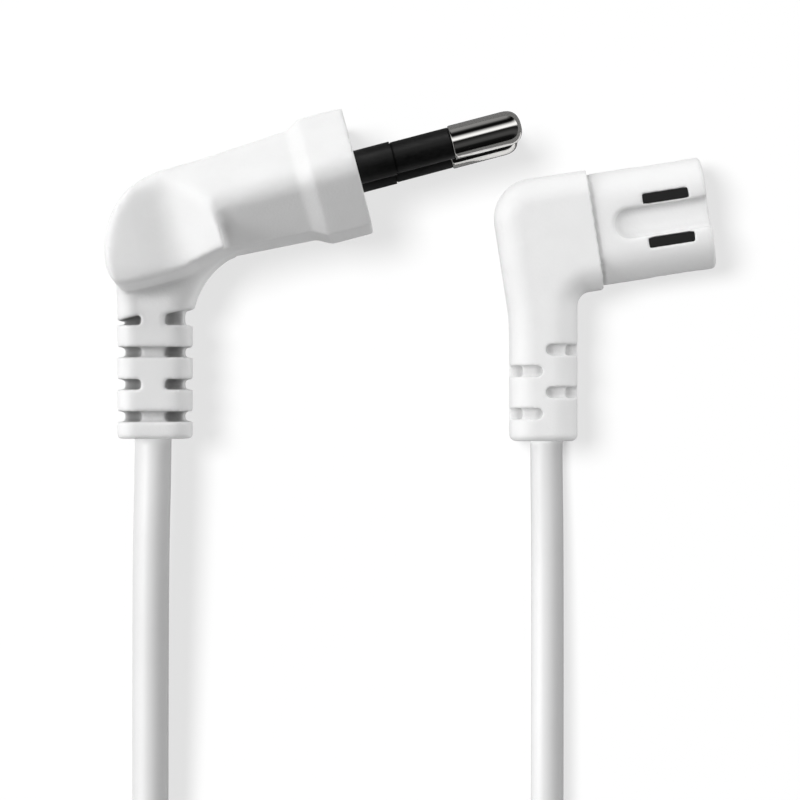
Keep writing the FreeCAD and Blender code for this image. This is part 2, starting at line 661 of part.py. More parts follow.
turn_round("Revolution", strap, band, "Z_Axis", "tie_angle")
coil_middle = lead_point(coil_across, COIL_ALONG, 0)
place_at(coil_ring, coil_middle, "0")
place_at(strap, coil_middle, "-90 - lead_angle - tie_angle / 2")
doc.recompute()


def tail_room(label, route, opens_up):
    """A straight notch in the ring's rim for a tail, open above or below, with a flat end that it meets."""
    end = route[-1]
    back = (route[-2] - end).normalize()
    outward = back.cross(FreeCAD.Vector(0, 0, 1)).normalize()
    if outward.dot(end - coil_middle) < 0:
        outward = outward * -1
    inside = outward * -value("cord_thickness / 2 + tail_play")
    outside = outward * value("cord_thickness * 2")
    closed, opened = value("cord_width / 2 + tail_play"), value("cord_width * 2")
    top = FreeCAD.Vector(0, 0, opened if opens_up else closed)
    foot = FreeCAD.Vector(0, 0, -closed if opens_up else -opened)
    corners = [end + inside + foot, end + outside + foot, end + outside + top, end + inside + top]
    mouth = Part.Face(Part.makePolygon([*corners, corners[0]]))
    return made(label, mouth.extrude(back * value("coil_radius")))


cord_coil = cut("cord_coil", coil_ring, [
    tail_room("plug_tail_room", plug_route, opens_up=False),
    tail_room("connector_tail_room", connector_route, opens_up=True)])

# Cores inside the plug: from each crimp barrel round into the cord's sheath. They turn off
# before the grip's back, swing towards it and come straight into the sheath.

def core_pair(name, pole, points, strip):
    """Copper strands along the points, their insulation past the stripped start, and both in one."""
    strands = made(f"{name}_strands_{pole}", round_wire(smooth_path(points), value("strand_radius")))
    begin = points[0] + (points[1] - points[0]).normalize() * strip
    jacket = made(f"{name}_jacket_{pole}",
                  round_wire(smooth_path([begin, *points[1:]]), value("insulation_radius")))
    return strands, cut(f"{name}_core_{pole}", jacket, [strands]), jacket


CORE_BEND = 9
CORE_KNEE = 6
CORE_SWING = FreeCAD.Vector(2, 0, 0)
plug_parts, sheath_mouth = [], plug_route[0]
up_the_lead = (plug_route[0] - plug_route[1]).normalize()
for pole, sign in (("live", 1), ("neutral", -1)):
    seat = pins[pole].Placement
    barrel = seat.multVec(FreeCAD.Vector(value(barrel_rear), 0, 0))
    bottom = seat.multVec(FreeCAD.Vector(value(strand_stop), 0, 0))
    bend = seat.multVec(FreeCAD.Vector(CORE_BEND - value("plug_reach"), 0, 0))
    entry = sheath_mouth + FreeCAD.Vector(0, 0, sign * value("core_spread"))
    knee = entry + up_the_lead * CORE_KNEE
    points = [bottom, barrel + (bend - barrel) * 0.4, (bend + knee) * 0.5 - CORE_SWING, knee, entry]
    plug_parts.append(core_pair("plug", pole, points, (barrel - bottom).Length))

plug_cores = [piece for strands, insulation, _ in plug_parts for piece in (strands, insulation)]
plug_housing = cut("plug_housing", plug_moulding, [
    bridge_with_bosses, *barrel_rooms.values(), *(jacket for _, _, jacket in plug_parts), cord_plug_run])

# Connector: outer form of the moulding, in its own frame with the step at the origin

shell = new_body("connector_moulding")
body_side = "(nose_width / 2 + step_across)"
leg_foot = ("(-leg_place - leg_length * sin(leg_lean))", "(-leg_length * cos(leg_lean))")
half_leg = ("leg_width / 2 * cos(leg_lean)", "leg_width / 2 * sin(leg_lean)")
back_kink = ("(leg_place + leg_width / 2 / cos(leg_lean) - shell_back) / tan(leg_lean)")
inner_ahead = f"(-leg_place + leg_width / 2 / cos(leg_lean) - {body_side} * tan(leg_lean))"
plan = sketch_on(shell, "shell_outline", "XY_Plane")
outline(plan, [
    ("0", f"-{body_side}"), ("0", body_side), ("-shell_back", body_side, "shell_corner"),
    ("-shell_back", back_kink, "shell_bend"),
    (f"{leg_foot[0]} - {half_leg[0]}", f"{leg_foot[1]} + {half_leg[1]}"),
    (f"{leg_foot[0]} + {half_leg[0]}", f"{leg_foot[1]} - {half_leg[1]}"),
    (inner_ahead, f"-{body_side}", "shell_inner")])
extrude("Pad", shell, plan, "nose_height + 2 * step_over", both_ways=True)
shell_top = value("nose_height / 2 + step_over")


def leg_distance(at):
    """How far a point of the connector's frame lies down the leg."""
    return (-(at.x + value("leg_place")) * math.sin(leg_slope) - at.y * math.cos(leg_slope))


round_edges(shell, "shell_rounding", "shell_round", lambda at, edge: (
    abs(abs(at.z) - shell_top) < 1e-3 and at.x < -1e-3
    and leg_distance(at) < value("leg_length") - 1e-3))
round_edges(shell, "leg_end_rounding", "shell_round / 4", lambda at, edge: (
    abs(leg_distance(at) - value("leg_length")) < 1e-3))

nose = sketch_on(shell, "nose_section", "YZ_Plane", "-overrun")
outline(nose, [(f"{sy}nose_width / 2", f"{sz}nose_height / 2", "nose_height * 0.48")
               for sy, sz in (("", "-"), ("", ""), ("-", ""), ("-", "-"))])
extrude("Pad", shell, nose, "nose_length + overrun")
round_edges(shell, "nose_rounding", "nose_round", lambda at, edge: (
    abs(at.x - value("nose_length")) < 1e-3))
channel = sketch_on(shell, "channel_outline", "XY_Plane", "nose_height / 2")
channel_end = "channel_width * 0.49"
outline(channel, [
    ("channel_start", "-channel_width / 2", channel_end),
    ("nose_length + overrun", "-channel_width / 2"), ("nose_length + overrun", "channel_width / 2"),
    ("channel_start", "channel_width / 2", channel_end)])
mirror(shell, extrude("Pocket", shell, channel, "channel_depth"), "XY_Plane")

windows = sketch_on(shell, "window_outlines", "XY_Plane", "nose_height / 2")
WINDOW = ("window_place", "window_place + window_length")
WINDOW_SIDES = [(f"{side}window_spread - window_width / 2", f"{side}window_spread + window_width / 2")
                for side in ("", "-")]
for edges in WINDOW_SIDES:
    rectangle(windows, *WINDOW, *edges)
mirror(shell, extrude("Pocket", shell, windows, "frame_wall"), "XY_Plane")
end_windows = sketch_on(shell, "end_window_outlines", "XZ_Plane", "-nose_width / 2")
rectangle(end_windows, *WINDOW, "-window_width / 2", "window_width / 2")
mirror(shell, extrude("Pocket", shell, end_windows, "frame_wall", backwards=True), "XZ_Plane")
mouths = sketch_on(shell, "contact_mouths", "YZ_Plane", "nose_length")
for side in ("", "-"):
    circle(mouths, f"{side}contact_spacing / 2", "0", "mouth_radius")
extrude("Pocket", shell, mouths, "contact_depth")

LEG = {"turn": "-leg_lean", "shift": ("-leg_place", "0")}
notches = sketch_on(shell, "notch_rows", "XY_Plane", **LEG)
NOTCH_ROWS = 4
for row in range(NOTCH_ROWS):
    middle = f"(notch_first + {row} * notch_pitch - leg_length)"
    low, high = f"{middle} - notch_gap / 2", f"{middle} + notch_gap / 2"
    side = "-" if row % 2 == 0 else ""
    tip, open_end = f"{side}(leg_width / 2 - notch_depth)", f"{side}leg_width"
    outline(notches, [(tip, low, "notch_gap * 0.49"), (open_end, low),
                      (open_end, high), (tip, high, "notch_gap * 0.49")])
extrude("Pocket", shell, notches, "nose_height * 2", both_ways=True)
leg_core = sketch_on(shell, "leg_core", "XY_Plane", **LEG)
rectangle(leg_core, "-notch_core / 2", "notch_core / 2", "notch_first / 2 - leg_length",
          f"notch_first + {NOTCH_ROWS} * notch_pitch - leg_length")
extrude("Pad", shell, leg_core, "cord_width + 2 * sheath_cover", both_ways=True)
leg_web = sketch_on(shell, "leg_web", "XY_Plane", **LEG)
rectangle(leg_web, "-leg_width / 2", "leg_width / 2", "notch_first / 2 - leg_length",
          f"notch_first + {NOTCH_ROWS} * notch_pitch - leg_length")
extrude("Pad", shell, leg_web, "notch_web", both_ways=True)
CONNECTOR = {"ahead": "connector_ahead", "across": "-connector_below",
             "up": "(nose_height - face_height) / 2 + step_over", "turn": "leg_lean - lead_angle"}
place(shell, **CONNECTOR)

# Connector: contact frame and contacts

frame_body = new_body("frame_block")
block = sketch_on(frame_body, "block_section", "YZ_Plane", "-frame_back")
half_block = "(nose_height / 2 - frame_wall)"
outline(block, [(f"{sy}(nose_width / 2 - frame_skin)", f"{sz}{half_block}", f"{half_block} * 0.96")
                for sy, sz in (("", "-"), ("", ""), ("-", ""), ("-", "-"))])
extrude("Pad", frame_body, block, "nose_length + frame_back - contact_depth")
ribs = sketch_on(frame_body, "rib_outlines", "XY_Plane")
for edges in WINDOW_SIDES:
    rectangle(ribs, *WINDOW, *edges)
extrude("Pad", frame_body, ribs, "nose_height - 2 * window_dip", both_ways=True)
end_ribs = sketch_on(frame_body, "end_rib_outlines", "XZ_Plane")
rectangle(end_ribs, *WINDOW, "-window_width / 2", "window_width / 2")
extrude("Pad", frame_body, end_ribs, "nose_width - 2 * window_dip", both_ways=True)
frame_groove = sketch_on(frame_body, "frame_channel", "XY_Plane", "nose_height / 2")
rectangle(frame_groove, "-frame_back - overrun", "nose_length + overrun",
          "-channel_width / 2 - channel_skin", "channel_width / 2 + channel_skin")
grooved = extrude("Pocket", frame_body, frame_groove, "channel_depth + channel_skin")
mirror(frame_body, grooved, "XY_Plane")

contact_front = "(nose_length - contact_depth)"
contact_rear = "(nose_length - contact_depth - contact_length)"
crimp_rear = "(nose_length - contact_depth - contact_length - crimp_length)"
strand_end = f"({contact_rear} - contact_wall)"
tube_radius = "(contact_bore + contact_wall)"
contacts, bores = {}, {}
for pole, side in POLES.items():
    contact = turned("contact_" + pole, [
        (crimp_rear, "strand_radius"), (crimp_rear, "crimp_radius"), (contact_rear, "crimp_radius"),
        (contact_rear, tube_radius), (contact_front, tube_radius), (contact_front, "contact_bore"),
        (f"{contact_rear} + contact_wall", "contact_bore"), (f"{contact_rear} + contact_wall", "0"),
        (strand_end, "0"), (strand_end, "strand_radius")])
    contacts[pole] = contact
    bores[pole] = turned("contact_room_" + pole, [
        (crimp_rear, "0"), (contact_front, "0"), (contact_front, tube_radius),
        (contact_rear, tube_radius), (contact_rear, "crimp_radius"), (crimp_rear, "crimp_radius")])
    for piece in (contact, bores[pole]):
        place_at(piece, connector_point(0, value(f"{side}contact_spacing / 2")), "leg_lean - lead_angle")
place(frame_body, **CONNECTOR)
doc.recompute()
contact_frame = cut("contact_frame", frame_body, bores.values())

# The live core comes from the far contact and passes over the neutral one
sheath_place = value("leg_length - leg_sheath")
turning = value(crimp_rear) - value("crimp_length") * 0.8
OVER_ACROSS = -1.0
over = connector_point(turning - value("insulation_radius") * 1.7, OVER_ACROSS, value("core_spread") * 1.2)
CORE_RUN_IN = 4
connector_parts = []
for pole, side, up, extra in (("live", "", 1, [over]), ("neutral", "-", -1, [])):
    across = value(f"{side}contact_spacing / 2")
    spread = up * value("core_spread")
    bottom = connector_point(value(strand_end), across)
    crimp = connector_point(value(crimp_rear), across)
    points = [bottom, connector_point(turning, across), *extra,
              on_leg(sheath_place - CORE_RUN_IN, spread), on_leg(sheath_place, spread)]
    connector_parts.append(core_pair("connector", pole, points, (crimp - bottom).Length))
connector_cores = [piece for strands, insulation, _ in connector_parts
                   for piece in (strands, insulation)]
connector_housing = cut("connector_housing", shell, [
    frame_body, *bores.values(), *(jacket for _, _, jacket in connector_parts), cord_connector_run])

# Checks and files

doc.recompute()
NODES = [
    plug_housing, pin_bridge, *pins.values(), *sleeves.values(), *plug_cores,
    connector_housing, contact_frame, *contacts.values(), *connector_cores,
    cord_plug_run, cord_coil, cord_connector_run, strap]
for thing in doc.Objects:
    if "Invalid" in thing.State or "Error" in thing.State:
        raise ValueError(f"{thing.Label} failed: {thing.State}")
for node in NODES:
    if node.Shape.isNull() or not node.Shape.isValid() or not node.Shape.Solids:
        raise ValueError(f"{node.Label} has no valid solid")
os.makedirs("parts", exist_ok=True)
for node in NODES:
    node.Shape.exportStep(f"parts/{node.Label}.step")
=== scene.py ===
import math

import bmesh
import bpy
import numpy as np
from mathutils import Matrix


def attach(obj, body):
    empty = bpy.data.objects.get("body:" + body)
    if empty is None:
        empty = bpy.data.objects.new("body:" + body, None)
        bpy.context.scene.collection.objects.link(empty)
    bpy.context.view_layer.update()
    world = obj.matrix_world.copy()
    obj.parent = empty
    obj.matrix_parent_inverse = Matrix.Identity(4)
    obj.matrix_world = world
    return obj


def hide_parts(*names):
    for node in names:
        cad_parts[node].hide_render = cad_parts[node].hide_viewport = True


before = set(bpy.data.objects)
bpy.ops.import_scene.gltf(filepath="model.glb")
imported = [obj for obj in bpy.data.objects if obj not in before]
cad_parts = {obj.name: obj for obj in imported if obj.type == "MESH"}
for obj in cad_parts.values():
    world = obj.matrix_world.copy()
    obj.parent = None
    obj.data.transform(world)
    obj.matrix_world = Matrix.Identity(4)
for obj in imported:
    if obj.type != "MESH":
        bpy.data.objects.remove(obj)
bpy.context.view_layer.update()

# Copper strands of the four cores. Each bundle is soft bare copper, twisted, crimped into a
# pin's barrel or a contact's crimp, and hidden by the moulding round it.
NOISE_LOW, NOISE_HIGH = 0.3, 0.7
STRAND_GRAIN = 0.0002


def finish(name, colour, roughness, metallic=0.0):
    """A material of one principled shader, with what is the same all over set on its sockets."""
    material = bpy.data.materials.new(name)
    material.use_nodes = True
    shader = material.node_tree.nodes["Principled BSDF"]
    shader.inputs["Base Color"].default_value = (*colour, 1.0)
    shader.inputs["Roughness"].default_value = roughness
    shader.inputs["Metallic"].default_value = metallic
    return material, shader


def cloud(material, grain, detail=2.0, stretch=(1.0, 1.0, 1.0), read="Object"):
    """Noise from 0 to 1 whose cells are one grain wide, in metres, drawn out along each axis."""
    tree = material.node_tree
    place = tree.nodes.new("ShaderNodeTexCoord")
    mapping = tree.nodes.new("ShaderNodeMapping")
    mapping.inputs["Scale"].default_value = [1.0 / (grain * s) for s in stretch]
    noise = tree.nodes.new("ShaderNodeTexNoise")
    noise.inputs["Scale"].default_value = 1.0
    noise.inputs["Detail"].default_value = detail
    tree.links.new(place.outputs[read], mapping.inputs["Vector"])
    tree.links.new(mapping.outputs["Vector"], noise.inputs["Vector"])
    return noise.outputs["Fac"]


def vary(material, source, socket, low, high):
    """Lets the noise carry a number of the shader from low to high."""
    span = material.node_tree.nodes.new("ShaderNodeMapRange")
    span.inputs["From Min"].default_value = NOISE_LOW
    span.inputs["From Max"].default_value = NOISE_HIGH
    span.inputs["To Min"].default_value = low
    span.inputs["To Max"].default_value = high
    material.node_tree.links.new(source, span.inputs["Value"])
    material.node_tree.links.new(span.outputs["Result"], socket)


def mottle(material, shader, source, dark, light):
    """Lets the noise carry the colour from dark to light."""
    tones = material.node_tree.nodes.new("ShaderNodeValToRGB")
    tones.color_ramp.elements[0].position = NOISE_LOW
    tones.color_ramp.elements[1].position = NOISE_HIGH
    tones.color_ramp.elements[0].color = (*dark, 1.0)
    tones.color_ramp.elements[1].color = (*light, 1.0)
    material.node_tree.links.new(source, tones.inputs["Fac"])
    material.node_tree.links.new(tones.outputs["Color"], shader.inputs["Base Color"])


def dimple(material, shader, source, depth):
    """Lets the noise raise and lower the surface by a depth in metres."""
    bump = material.node_tree.nodes.new("ShaderNodeBump")
    bump.inputs["Distance"].default_value = depth
    material.node_tree.links.new(source, bump.inputs["Height"])
    material.node_tree.links.new(bump.outputs["Normal"], shader.inputs["Normal"])


def dress(material, *nodes):
    """Gives CAD nodes a finish of their own."""
    for node in nodes:
        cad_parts[node].data.materials.clear()
        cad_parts[node].data.materials.append(material)


copper, copper_shader = finish("soft_copper", (0.72, 0.42, 0.28), 0.35, metallic=1.0)
strand_noise = cloud(copper, STRAND_GRAIN)
mottle(copper, copper_shader, strand_noise, (0.62, 0.34, 0.22), (0.78, 0.47, 0.32))
vary(copper, strand_noise, copper_shader.inputs["Roughness"], 0.28, 0.45)
dress(copper, "plug_strands_live", "plug_strands_neutral", "connector_strands_live",
      "connector_strands_neutral")

# Insulated cores. The live one is brown and the neutral one light blue, of soft PVC drawn over
# the strands, and both end inside the cord's sheath.
CORE_GRAIN = 0.0012
CORE_COLOURS = {"live": ((0.20, 0.09, 0.045), (0.28, 0.13, 0.06)),
                "neutral": ((0.08, 0.26, 0.58), (0.12, 0.33, 0.68))}
for pole, (dark, light) in CORE_COLOURS.items():
    core, core_shader = finish("core_skin_" + pole, light, 0.42)
    core_noise = cloud(core, CORE_GRAIN)
    mottle(core, core_shader, core_noise, dark, light)
    vary(core, core_noise, core_shader.inputs["Roughness"], 0.36, 0.5)
    dress(core, "plug_core_" + pole, "connector_core_" + pole)

# Pins. Each is turned from brass rod, nickel plated, with a crimp barrel behind, a thinner shank
# under its sleeve and a round nose, and leans a little towards the other.
PIN_SPACING, PIN_LEAN = 0.0186, math.radians(1.6)
PIN_RADIUS, PIN_TIP = 0.002, 0.0195
SHANK_RADIUS, SLEEVE_END = 0.0015, 0.0112
BARREL_RADIUS, BARREL_REAR, BARREL_FRONT = 0.00175, -0.0124, -0.0074
STRAND_RADIUS, STRAND_STOP = 0.0005, -0.0079
AXIS_POINT = 0.00004
EDGE, BARREL_EDGE, SHOULDER_EDGE, NOSE_EDGE = 0.0001, 0.0002, 0.00018, PIN_RADIUS * 0.94
PIN_STEP, PIN_SIDES, ARC_POINTS = 0.00014, 72, 9
TURNING_GRAIN, TURNING_MARKS, TURNING_DEPTH = 0.00012, (60.0, 1.0, 1.0), 0.0000012


def soft_profile(corners, step):
    """A turned piece's outline. Each corner (along, radius, rounding) becomes a small arc between
    the points one rounding before and after it, drawn as a quadratic curve with the corner as its
    middle handle, and the whole is sampled again at even steps along its length."""
    spots = np.array([c[:2] for c in corners])
    bends = np.array([c[2] for c in corners])
    share = np.linspace(0.0, 1.0, ARC_POINTS)[:, None]
    line = [spots[:1]]
    for before, spot, after, bend in zip(spots, spots[1:], spots[2:], bends[1:]):
        start = spot + (before - spot) / np.linalg.norm(before - spot) * bend
        stop = spot + (after - spot) / np.linalg.norm(after - spot) * bend
        line.append(start * (1 - share) ** 2 + 2 * spot * share * (1 - share) + stop * share ** 2)
    line = np.vstack([*line, spots[-1:]])
    run = np.r_[0.0, np.cumsum(np.linalg.norm(np.diff(line, axis=0), axis=1))]
    even = np.linspace(0.0, run[-1], int(run[-1] / step) + 2)
    return np.stack([np.interp(even, run, line[:, k]) for k in (0, 1)], axis=1)


def grid_piece(name, points, wrap_rows=False):
    """Quads over a grid of points whose columns close into rings. The rows close too, or else each
    end ring is closed by one flat face. The first UV runs round the rings and the second along."""
    rows, columns = points.shape[:2]
    index = np.arange(rows * columns).reshape(rows, columns)
    below = index if wrap_rows else index[:-1]
    above = np.roll(index, -1, axis=0) if wrap_rows else index[1:]
    quads = np.stack([below, np.roll(below, -1, axis=1), np.roll(above, -1, axis=1), above], axis=-1)
    faces = quads.reshape(-1, 4).tolist()
    if not wrap_rows:
        faces += [index[0, ::-1].tolist(), index[-1].tolist()]
    mesh = bpy.data.meshes.new(name)
    mesh.from_pydata(points.reshape(-1, 3), [], faces)
    mesh.shade_smooth()
    along = np.r_[0.0, np.cumsum(np.linalg.norm(np.diff(points[:, 0], axis=0), axis=1))]
    vertex = np.zeros(len(mesh.loops), np.int32)
    mesh.loops.foreach_get("vertex_index", vertex)
    places = np.stack([vertex % columns / columns, along[vertex // columns]], axis=1)
    mesh.uv_layers.new(name="surface").data.foreach_set("uv", places.ravel())
    welded = bmesh.new()
    welded.from_mesh(mesh)
    bmesh.ops.recalc_face_normals(welded, faces=welded.faces)
    welded.to_mesh(mesh)
    welded.free()
    piece = bpy.data.objects.new(name, mesh)
    bpy.context.scene.collection.objects.link(piece)
    return piece


def turned(name, profile, foot, axis, wrap_rows=False):
    """A profile of (along, radius) rows turned round an axis: each point is the foot, plus along
    times the axis, plus radius times a direction that goes once round it."""
    axis = np.asarray(axis) / np.linalg.norm(axis)
    side = np.cross(axis, (0.0, 1.0, 0.0))
    side /= np.linalg.norm(side)
    angle = np.linspace(0.0, 2 * np.pi, PIN_SIDES, endpoint=False)[:, None]
    spoke = np.cos(angle) * side + np.sin(angle) * np.cross(axis, side)
    points = (np.asarray(foot) + profile[:, 0, None, None] * axis
              + profile[:, 1, None, None] * spoke[None])
    return grid_piece(name, points, wrap_rows)


nickel, nickel_shader = finish("bright_nickel", (0.76, 0.75, 0.73), 0.08, metallic=1.0)
nickel_noise = cloud(nickel, TURNING_GRAIN, stretch=TURNING_MARKS)
vary(nickel, nickel_noise, nickel_shader.inputs["Roughness"], 0.04, 0.08)
dimple(nickel, nickel_shader, nickel_noise, TURNING_DEPTH)

PIN_CORNERS = [
    (STRAND_STOP, AXIS_POINT, 0.0), (STRAND_STOP, STRAND_RADIUS, EDGE),
    (BARREL_REAR, STRAND_RADIUS, EDGE), (BARREL_REAR, BARREL_RADIUS, BARREL_EDGE),
    (BARREL_FRONT, BARREL_RADIUS, EDGE), (BARREL_FRONT, SHANK_RADIUS, EDGE),
    (SLEEVE_END, SHANK_RADIUS, EDGE), (SLEEVE_END, PIN_RADIUS, SHOULDER_EDGE),
    (PIN_TIP, PIN_RADIUS, NOSE_EDGE), (PIN_TIP, AXIS_POINT, 0.0)]
pins, pin_seats = {}, {}
for pole, sign in (("live", 1), ("neutral", -1)):
    foot = (0.0, 0.0, sign * PIN_SPACING / 2)
    axis = (math.cos(PIN_LEAN), 0.0, -sign * math.sin(PIN_LEAN))
    pin_seats[pole] = foot, axis
    pins[pole] = turned("nickel_pin_" + pole, soft_profile(PIN_CORNERS, PIN_STEP), foot, axis)
    pins[pole].data.materials.append(nickel)
    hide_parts("pin_" + pole)
    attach(pins[pole], "root")

# Sleeves and bridge. The bridge is one hard black moulding that holds both pins, with a boss at
# the foot of each. A black sleeve on each pin has a thinner foot let into that boss.
SLEEVE_RADIUS, SLEEVE_START = 0.00184, 0.00435
SPIGOT_RADIUS, SPIGOT_START, SPIGOT_EDGE = 0.00175, 0.00305, 0.00005
BLACK_GRAIN, BLACK_MARKS, BLACK_DEPTH = 0.00035, (2.0, 1.0, 1.0), 0.000006


def grey(tone):
    """A colour without hue."""
    return (tone, tone, tone)


black, black_shader = finish("black_insulator", grey(0.005), 0.45)
black_shader.inputs["Specular IOR Level"].default_value = 0.2
black_noise = cloud(black, BLACK_GRAIN, detail=4.0, stretch=BLACK_MARKS)
mottle(black, black_shader, black_noise, grey(0.003), grey(0.008))
vary(black, black_noise, black_shader.inputs["Roughness"], 0.36, 0.55)
dimple(black, black_shader, black_noise, BLACK_DEPTH)
dress(black, "pin_bridge")

SLEEVE_CORNERS = [
    (SPIGOT_START, SHANK_RADIUS + SPIGOT_EDGE, 0.0), (SPIGOT_START, SPIGOT_RADIUS, SPIGOT_EDGE),
    (SLEEVE_START, SPIGOT_RADIUS, SPIGOT_EDGE), (SLEEVE_START, SLEEVE_RADIUS, EDGE),
    (SLEEVE_END, SLEEVE_RADIUS, EDGE), (SLEEVE_END, SHANK_RADIUS, EDGE),
    (SPIGOT_START, SHANK_RADIUS, 0.0)]
sleeves = {}
for pole, (foot, axis) in pin_seats.items():
    profile = soft_profile(SLEEVE_CORNERS, PIN_STEP)
    sleeves[pole] = turned("pin_sleeve_skin_" + pole, profile, foot, axis, wrap_rows=True)
    sleeves[pole].data.materials.append(black)
    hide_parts("pin_sleeve_" + pole)
    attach(sleeves[pole], "root")

# Plug housing. White PVC is moulded round the bridge, the crimps and the cord's end in one shot:
# collar, bevelled neck, grip with finger scoops, and strain relief. Its edges are a mould's soft
# ones. The grip, and the crease between it and the neck, are softer still.
LEAD_LEAN = math.radians(14.8)
ROW_ORIGIN = (0.0, 0.0, 0.0)
WELD = 1e-7
PLUG_GRID, MOULD_PASSES = 0.00024, 2
GRIP_FRONT, GRIP_FOOT = -0.0165, -0.0145
NECK_PASSES, GRIP_PASSES = 3, 16
CREASE = np.array([(-0.0218, 0.0046), (-0.0170, 0.0009)])
CREASE_SIDE, CREASE_REACHES, CREASE_PASSES = 0.007, (0.0036, 0.0022), 50
GROWTH, GROWTH_FRONT, FRONT_EASE, FOOT_EASE = 0.0005, -0.0205, 0.006, 0.003
MOST_TRIANGLES = 198000
WAY_OUT_LOW, WAY_OUT_HIGH, WAY_OUT_SAMPLES = 0.2, 0.92, 6
MOULD_GRAIN, MOULD_DEPTH, MOULD_CLOUD = 0.0003, 0.00003, 0.004
# Painted shade in the plug's hollows: how far round a point is looked at, and how dark the colour goes.
PLUG_PAINTED_SHADE = {"reach": 0.002, "darkest": 0.3}


def baked(skin):
    """Puts what the modifiers make of the mesh in its place."""
    shaped = skin.evaluated_get(bpy.context.evaluated_depsgraph_get())
    skin.data = bpy.data.meshes.new_from_object(shaped)
    skin.modifiers.clear()


def relaxed(skin, passes, chosen=None):
    """Moves each point, or each chosen one, half way to its neighbours' middle, that many times."""
    relax = skin.modifiers.new("relax", "SMOOTH")
    relax.factor = 0.5
    relax.iterations = passes
    if chosen is not None:
        softer = skin.vertex_groups.new(name="softer")
        softer.add(np.flatnonzero(chosen).tolist(), 1.0, "REPLACE")
        relax.vertex_group = softer.name
    baked(skin)
    skin.vertex_groups.clear()


def places_from(skin, foot, turn):
    """The skin's points, ahead and across as seen from a foot point in a frame turned by an angle,
    and above it."""
    points = np.zeros(len(skin.data.vertices) * 3)
    skin.data.vertices.foreach_get("co", points)
    dx, dy, dz = (points.reshape(-1, 3) - foot).T
    return dx * math.cos(turn) + dy * math.sin(turn), dy * math.cos(turn) - dx * math.sin(turn), dz


def off_stretch(ahead, across, ends):
    """How far each place is from the straight stretch between two ends: from the point on it at the
    share of the way that the place has reached along it, kept between 0 and 1."""
    run = ends[1] - ends[0]
    reached = (ahead - ends[0, 0]) * run[0] + (across - ends[0, 1]) * run[1]
    share = np.clip(reached / (run @ run), 0.0, 1.0)
    return np.hypot(ahead - ends[0, 0] - share * run[0], across - ends[0, 1] - share * run[1])


def pushed_out(skin, amount):
    """Moves each point out along its normal by its own amount."""
    places, normals = np.zeros((2, len(skin.data.vertices) * 3))
    skin.data.vertices.foreach_get("co", places)
    skin.data.vertex_normals.foreach_get("vector", normals)
    skin.data.vertices.foreach_set("co", places + normals * np.repeat(amount, 3))


def moulded_copy(node, name, grid):
    """A moulded skin for a CAD node: its mesh with doubles merged, built again on an even grid and
    relaxed, so that its edges get a small rounding."""
    skin = bpy.data.objects.new(name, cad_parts[node].data.copy())
    bpy.context.scene.collection.objects.link(skin)
    welded = bmesh.new()
    welded.from_mesh(skin.data)
    bmesh.ops.remove_doubles(welded, verts=welded.verts, dist=WELD)
    welded.to_mesh(skin.data)
    welded.free()
    even = skin.modifiers.new("even_grid", "REMESH")
    even.mode = "VOXEL"
    even.voxel_size = grid
    relaxed(skin, MOULD_PASSES)
    return skin


def skin_done(skin, node, material):
    """Thins the skin out to the most triangles a piece may have and puts it in the CAD node's place."""
    thin = skin.modifiers.new("thin_out", "DECIMATE")
    thin.ratio = min(1.0, MOST_TRIANGLES / (2 * len(skin.data.polygons)))
    baked(skin)
    skin.data.name = skin.name
    skin.data.shade_smooth()
    skin.data.materials.clear()
    skin.data.materials.append(material)
    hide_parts(node)
    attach(skin, "root")


def colour_sockets(sockets):
    """Those sockets of a node that carry a colour."""
    return [socket for socket in sockets if socket.type == "RGBA"]


# Painted shade in hollows: an occlusion node darkens the base colour, standing in for shadow.
def painted_recess_shade(material, shader, reach, darkest):
    """Painted shade: dims the colour where the piece's own walls stand close round a point, by how much
    of the way out they close within the reach."""
    tree = material.node_tree
    way_out = tree.nodes.new("ShaderNodeAmbientOcclusion")
    way_out.samples = WAY_OUT_SAMPLES
    way_out.only_local = True
    way_out.inputs["Distance"].default_value = reach
    span = tree.nodes.new("ShaderNodeMapRange")
    span.inputs["From Min"].default_value = WAY_OUT_LOW
    span.inputs["From Max"].default_value = WAY_OUT_HIGH
    span.inputs["To Min"].default_value = darkest
    painted_shade = tree.nodes.new("ShaderNodeMix")
    painted_shade.data_type = "RGBA"
    painted_shade.blend_type = "MULTIPLY"
    painted_shade.inputs["Factor"].default_value = 1.0
    plain, shade = colour_sockets(painted_shade.inputs)
    tree.links.new(shader.inputs["Base Color"].links[0].from_socket, plain)
    tree.links.new(way_out.outputs["AO"], span.inputs["Value"])
    tree.links.new(span.outputs["Result"], shade)
    tree.links.new(colour_sockets(painted_shade.outputs)[0], shader.inputs["Base Color"])


def white_moulding(name, reach, darkest):
    """White PVC with a mould's fine grain, and painted shade that dims its colour in recesses."""
    white, shader = finish(name, grey(0.9), 0.5)
    shader.inputs["Specular IOR Level"].default_value = 0.4
    grain = cloud(white, MOULD_GRAIN, detail=3.0)
    mottle(white, shader, cloud(white, MOULD_CLOUD), grey(0.885), grey(0.91))
    vary(white, grain, shader.inputs["Roughness"], 0.46, 0.6)
    dimple(white, shader, grain, MOULD_DEPTH)
    painted_recess_shade(white, shader, reach, darkest)
    return white


